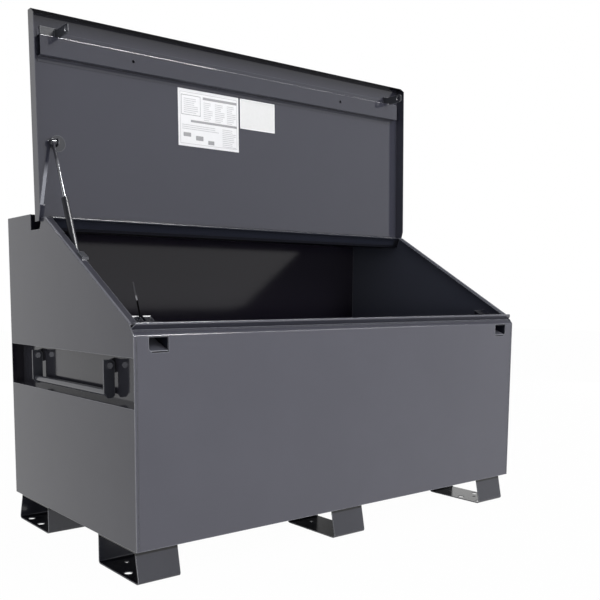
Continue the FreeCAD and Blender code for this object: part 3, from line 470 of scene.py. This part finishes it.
head_bars = [(0.4, 0.1, 0.97, 0.145), (0.2, 0.53, 0.97, 0.57), (0.05, 0.1, 0.36, 0.11),
             (0.05, 0.44, 0.36, 0.45), (0.05, 0.1, 0.056, 0.45), (0.354, 0.1, 0.36, 0.45),
             (0.08, 0.76, 0.2, 0.83), (0.28, 0.8, 0.4, 0.88), (0.48, 0.86, 0.58, 0.93)]
line_bars = [(0.03, 0.05, 0.97, 0.058), (0.03, 0.95, 0.97, 0.958),
             (0.03, 0.05, 0.036, 0.958), (0.964, 0.05, 0.97, 0.958)]
for left, right, top, bottom in ((0.41, 0.56, 0.19, 0.5), (0.6, 0.76, 0.19, 0.5), (0.8, 0.95, 0.19, 0.5),
                                 (0.09, 0.32, 0.16, 0.42), (0.06, 0.66, 0.62, 0.7), (0.72, 0.95, 0.62, 0.93)):
    row = top
    while row < bottom:
        line_bars.append((left, row, right - RAGGED * (round(row * 100) % 3), row + LINE_TALL))
        row += LINE_STEP
print_bars("card_print_heads", card_paper("card_ink", (0.3, 0.3, 0.31)), head_bars)
print_bars("card_print_lines", card_paper("card_pale_ink", (0.55, 0.55, 0.56)), line_bars)
print_bars("plain_card_border", card_paper("card_border_white", (0.95, 0.95, 0.95)),
           [(*card_share(left, top), *card_share(right, low))
            for left, right, low, top in ((PLAIN_LEFT, PLAIN_RIGHT, PLAIN_TOP - RIM, PLAIN_TOP),
                                          (PLAIN_LEFT, PLAIN_RIGHT, PLAIN_LOW, PLAIN_LOW + RIM),
                                          (PLAIN_LEFT, PLAIN_LEFT + RIM, PLAIN_LOW, PLAIN_TOP),
                                          (PLAIN_RIGHT - RIM, PLAIN_RIGHT, PLAIN_LOW, PLAIN_TOP))])

# ---- Lid stay --------------------------------------------------------------
# A telescopic stay: two black lacquered steel tubes and a chromed rod slide in one
# another. The rod's eye is pinned to the lid, the outer tube to a bracket on the box.
finish_nodes(powder_coat("stay_black_lacquer", (0.016, 0.017, 0.022), 0.34, dust=0.05, bump=0.01,
                         specular=0.3), "stay_outer_tube", "stay_middle_tube")

# The rod's upper end is painted dark and not metal, a painted dark reflection. Below it the chrome glows to
# mirror rays alone, a painted glow, so that the lid's gloss shows it bright.
ROD_DARK_ABOVE, ROD_BRIGHT_BELOW, ROD_GLOW = 1.125, 1.085, 7.0
chrome = bare_steel("chromed_rod", (0.5, 0.51, 0.54), 0.16, scratch=0.03)
rod_tree = chrome.node_tree
rod_shader = rod_tree.nodes["Principled BSDF"]
rod_shader.inputs["Emission Strength"].default_value = ROD_GLOW
rod_steel = rod_shader.inputs["Base Color"].links[0].from_socket
rod_dark_top = node(rod_tree, "Group", level_fade, {"Colour": (0.05, 0.05, 0.06, 1), "Direction": UP,
                                             "Start": ROD_DARK_ABOVE, "Full": ROD_BRIGHT_BELOW})
rod_sight = node(rod_tree, "LightPath")
glow_share = node(rod_tree, "Math", "MULTIPLY")
glow = node(rod_tree, "Mix", "RGBA", {"A": (0, 0, 0, 1), "B": (0.9, 0.92, 1.0, 1)})
wire(rod_tree,
     (rod_steel, rod_dark_top.inputs["Faded Colour"]),
     (rod_dark_top.outputs["Colour"], rod_shader.inputs["Base Color"]),
     (rod_dark_top.outputs["Mask"], rod_shader.inputs["Metallic"]),
     (rod_sight.outputs["Is Glossy Ray"], glow_share.inputs[0]),
     (rod_dark_top.outputs["Mask"], glow_share.inputs[1]),
     (glow_share.outputs["Value"], glow.inputs["Factor"]),
     (glow.outputs["Result"], rod_shader.inputs["Emission Color"]))
finish_nodes(chrome, "stay_rod")

# ---- Tie -------------------------------------------------------------------
# A thin strap moulded in one piece of dark plastic, pushed into a hole in the left
# housing's top and left standing. A painted highlight lies on a short band over its middle, with a fainter
# painted sheen from there to the tip.
HIGHLIGHT_BAND_FROM, HIGHLIGHT_BAND_FULL, TIP_SHEEN_FROM, TIP_SHEEN_FULL = 0.53, 0.55, 0.63, 0.67
strap = powder_coat("tie_dark_plastic", (0.001, 0.001, 0.0015), 0.3, dust=0.01, bump=0.02, specular=0.04,
                    edge=0.0)
strap_foot, strap_head = (corner[2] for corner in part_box("tie"))
strap_tall = strap_head - strap_foot
for start, full, grey in ((HIGHLIGHT_BAND_FROM, HIGHLIGHT_BAND_FULL, (0.3, 0.3, 0.31)),
                          (TIP_SHEEN_FROM, TIP_SHEEN_FULL, (0.07, 0.07, 0.075))):
    fade(strap, UP, strap_foot + start * strap_tall, strap_foot + full * strap_tall, grey)
finish_nodes(strap, "tie")

# ---- Drop handles ----------------------------------------------------------
# Each handle is two arms cut from flat bar and welded to a tube grip. It hangs on headed
# pins, which stay bare steel, between ears welded to the floor of the side's channel.
PIN_STEEL, PIN_EDGE = (0.5, 0.51, 0.55), 0.00001
finish_nodes(powder_coat("handle_powder_grey", (0.035, 0.037, 0.046), 0.18, dust=0.1, bump=0.02),
             *["handle_%s_arm_%s" % (side, end) for side in ("left", "right") for end in ("front", "rear")])
# The grip is painted paler than its arms, as painted light on the tube.
finish_nodes(powder_coat("grip_powder_grey", (0.085, 0.087, 0.1), 0.18, dust=0.1, bump=0.02),
             "handle_left_grip", "handle_right_grip")
# The ears are painted near black, as painted shade round the pins.
for end, plate_front in (("front", -0.2335), ("rear", 0.2385)):
    ear_shaded = powder_coat("handle_ear_" + end, (0.012, 0.012, 0.016), 0.18, dust=0.03, bump=0.02,
                           specular=0.25, edge=0.15)
    pin_head = fade(ear_shaded, BACKWARD, plate_front, plate_front - PIN_EDGE, PIN_STEEL)
    wire(ear_shaded.node_tree,
         (pin_head.outputs["Mask"], ear_shaded.node_tree.nodes["Principled BSDF"].inputs["Metallic"]))
    finish_nodes(ear_shaded, "handle_left_ear_" + end, "handle_right_ear_" + end)

# ---- Studio ----------------------------------------------------------------
# No part of the box: a pale sweep of floor, even white surroundings under a darker
# ceiling, and soft lamps all round, with two that show only in the gloss of the bends.
FLOOR_HALF, FLOOR_LEVEL, FLOOR_WHITE = 14.0, -0.001, 0.985
floor_mesh = bpy.data.meshes.new("studio_floor")
floor_grid = bmesh.new()
bmesh.ops.create_grid(floor_grid, x_segments=8, y_segments=8, size=FLOOR_HALF)
floor_grid.to_mesh(floor_mesh)
floor_grid.free()
studio_floor = bpy.data.objects.new("studio_floor", floor_mesh)
studio_floor.location = (0, 0, FLOOR_LEVEL)
bpy.context.scene.collection.objects.link(studio_floor)
pale = bpy.data.materials.new("pale_floor")
pale.use_nodes = True
pale_tree = pale.node_tree
pale_shader = pale_tree.nodes["Principled BSDF"]
pale_shader.inputs["Base Color"].default_value = (0.8, 0.8, 0.8, 1)
pale_shader.inputs["Roughness"].default_value = 0.9
floor_light = node(pale_tree, "Emission", values={"Strength": 1.0})
floor_sight = node(pale_tree, "LightPath")
floor_seen = node(pale_tree, "Math", "MAXIMUM")
floor_share = node(pale_tree, "Math", "MULTIPLY", {1: FLOOR_WHITE})
floor_mix = node(pale_tree, "MixShader")
wire(pale_tree,
     (floor_sight.outputs["Is Camera Ray"], floor_seen.inputs[0]),
     (floor_sight.outputs["Is Glossy Ray"], floor_seen.inputs[1]),
     (floor_seen.outputs["Value"], floor_share.inputs[0]),
     (floor_share.outputs["Value"], floor_mix.inputs["Fac"]),
     (pale_shader.outputs["BSDF"], floor_mix.inputs[1]),
     (floor_light.outputs["Emission"], floor_mix.inputs[2]),
     (floor_mix.outputs["Shader"], pale_tree.nodes["Material Output"].inputs["Surface"]))
floor_mesh.materials.append(pale)

# The surroundings are white to the eye. In gloss they darken overhead, from one height
# of the sky to another.
CEILING_FROM, CEILING_FULL, CEILING_DARK = 0.4, 0.54, 0.15
world = bpy.data.worlds.new("studio_world")
bpy.context.scene.world = world
world.use_nodes = True
sky = world.node_tree
soft_light = sky.nodes["Background"]
soft_light.inputs["Color"].default_value = (0.93, 0.94, 1.0, 1)
soft_light.inputs["Strength"].default_value = 0.4
white = node(sky, "Background", values={"Color": (1, 1, 1, 1)})
sky_sight = node(sky, "LightPath")
heading = node(sky, "TexCoord")
rise = node(sky, "SeparateXYZ")
ceiling = node(sky, "MapRange", values={"From Min": CEILING_FROM, "From Max": CEILING_FULL,
                                        "To Min": 1.0, "To Max": CEILING_DARK})
whiteness = node(sky, "Math", "MAXIMUM")
seen_or_mirrored = node(sky, "Math", "MAXIMUM")
any_sight = node(sky, "Math", "MAXIMUM")
sky_mix = node(sky, "MixShader")
wire(sky,
     (heading.outputs["Generated"], rise.inputs["Vector"]),
     (rise.outputs["Z"], ceiling.inputs["Value"]),
     (ceiling.outputs["Result"], whiteness.inputs[0]),
     (sky_sight.outputs["Is Camera Ray"], whiteness.inputs[1]),
     (whiteness.outputs["Value"], white.inputs["Strength"]),
     (sky_sight.outputs["Is Camera Ray"], seen_or_mirrored.inputs[0]),
     (sky_sight.outputs["Is Glossy Ray"], seen_or_mirrored.inputs[1]),
     (seen_or_mirrored.outputs["Value"], any_sight.inputs[0]),
     (sky_sight.outputs["Is Transmission Ray"], any_sight.inputs[1]),
     (any_sight.outputs["Value"], sky_mix.inputs["Fac"]),
     (soft_light.outputs["Background"], sky_mix.inputs[1]),
     (white.outputs["Background"], sky_mix.inputs[2]),
     (sky_mix.outputs["Shader"], sky.nodes["World Output"].inputs["Surface"]))


def soft_lamp(name, place, aim, size, power, mirrored=False):
    """A large soft lamp aimed at a point of the box; a mirrored one shows in the gloss alone."""
    light = bpy.data.lights.new(name, "AREA")
    light.shape = "RECTANGLE"
    light.size, light.size_y = size
    light.energy = power
    lamp = bpy.data.objects.new(name, light)
    lamp.location = place
    lamp.rotation_euler = (Vector(aim) - Vector(place)).to_track_quat("-Z", "Y").to_euler()
    lamp.visible_glossy = mirrored
    lamp.visible_diffuse = not mirrored
    bpy.context.scene.collection.objects.link(lamp)


soft_lamp("key_left", (-4.2, -1.6, 1.2), (0, 0, 0.6), (2.6, 1.6), 14)
soft_lamp("fill_front", (0.05, -4.6, 0.45), (0, 0, 0.45), (3.6, 0.9), 65)
soft_lamp("lid_front", (1.5, -3.4, 3.4), (0.3, 0.1, 1.1), (1.4, 1.4), 64)
soft_lamp("fill_back", (0.6, 4.6, 0.7), (0, 0, 0.6), (3.6, 0.9), 55)
soft_lamp("fill_right", (4.8, 0.8, 0.6), (0, 0.2, 0.4), (1.8, 0.9), 22)
soft_lamp("edge_glint", (3.2, -2.6, 4.2), (3.2, 0, 0.8), (4.6, 0.5), 210, mirrored=True)
soft_lamp("rib_glint", (1.7, -3.0, 4.2), (1.7, 0, 0.8), (1.9, 0.6), 480, mirrored=True)

CAMERA_PLACE, YAW, PITCH = (-1.72453, -2.1267, 0.72547), 0.63691, -0.11269
camera_data = bpy.data.cameras.new("camera")
camera_data.sensor_width = 36.0
camera_data.lens = 48.45
camera_data.shift_x = 0.1025
camera_data.shift_y = 0.1445
camera = bpy.data.objects.new("camera", camera_data)
ahead = Vector((math.sin(YAW) * math.cos(PITCH), math.cos(YAW) * math.cos(PITCH), math.sin(PITCH)))
aside = Vector((math.cos(YAW), -math.sin(YAW), 0))
above = aside.cross(ahead)
turned = Matrix((aside, above, -ahead)).transposed()
camera.matrix_world = Matrix.Translation(CAMERA_PLACE) @ turned.to_4x4()
bpy.context.scene.collection.objects.link(camera)
bpy.context.scene.camera = camera
bpy.context.scene.view_settings.view_transform = "Standard"
